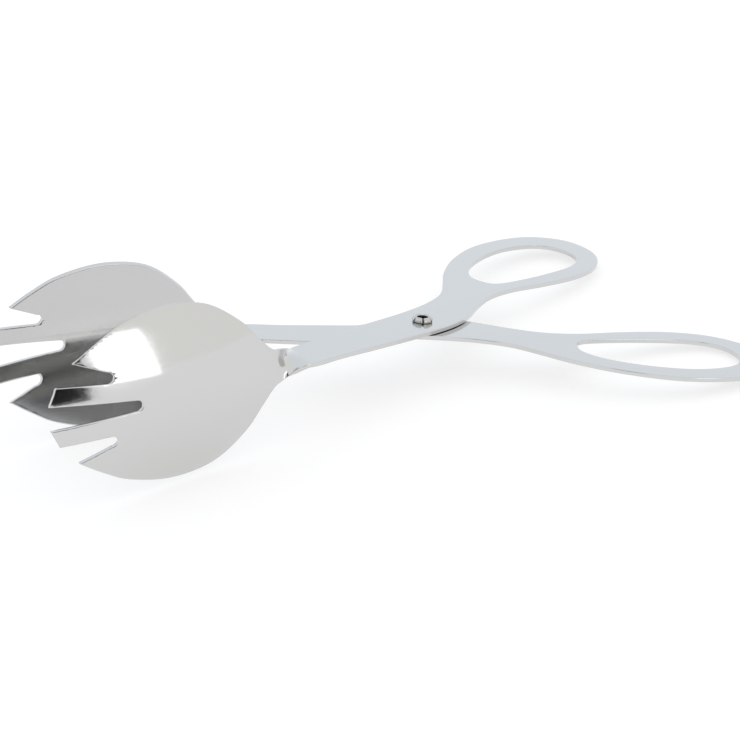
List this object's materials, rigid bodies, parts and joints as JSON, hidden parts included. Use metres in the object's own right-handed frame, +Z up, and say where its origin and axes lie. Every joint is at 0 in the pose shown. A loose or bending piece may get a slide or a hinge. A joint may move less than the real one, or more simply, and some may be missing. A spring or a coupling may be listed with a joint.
{
  "type": "ice tongs",
  "caption": "Scissor-action steel tongs with finger rings and dished, forked heads that grip ice or food between them.",
  "frame": {"origin": "on the table, under the middle of the box that holds the open tongs", "axes": "+X from the heads to the finger rings, +Z up from the table; the rivet's axis leans 9.0 degrees from +Z towards +X, because the heads stand taller than the rings"},
  "size_m": [0.242, 0.1498, 0.0586],
  "materials": {
    "blade_steel": "polished stainless sheet with a faint grain",
    "rivet_steel": "bright turned steel"
  },
  "bodies": {
    "lower": {"lower_blade": "blade_steel", "rivet": "rivet_steel"},
    "upper": {"upper_blade": "blade_steel"}
  },
  "joints": [
    {"name": "pivot", "type": "hinge", "parent": "lower", "child": "upper", "pos_m": [0.02359, 0, 0.01702], "axis": [0.157, 0, 0.9876], "range_deg": [-20, 30]}
  ]
}
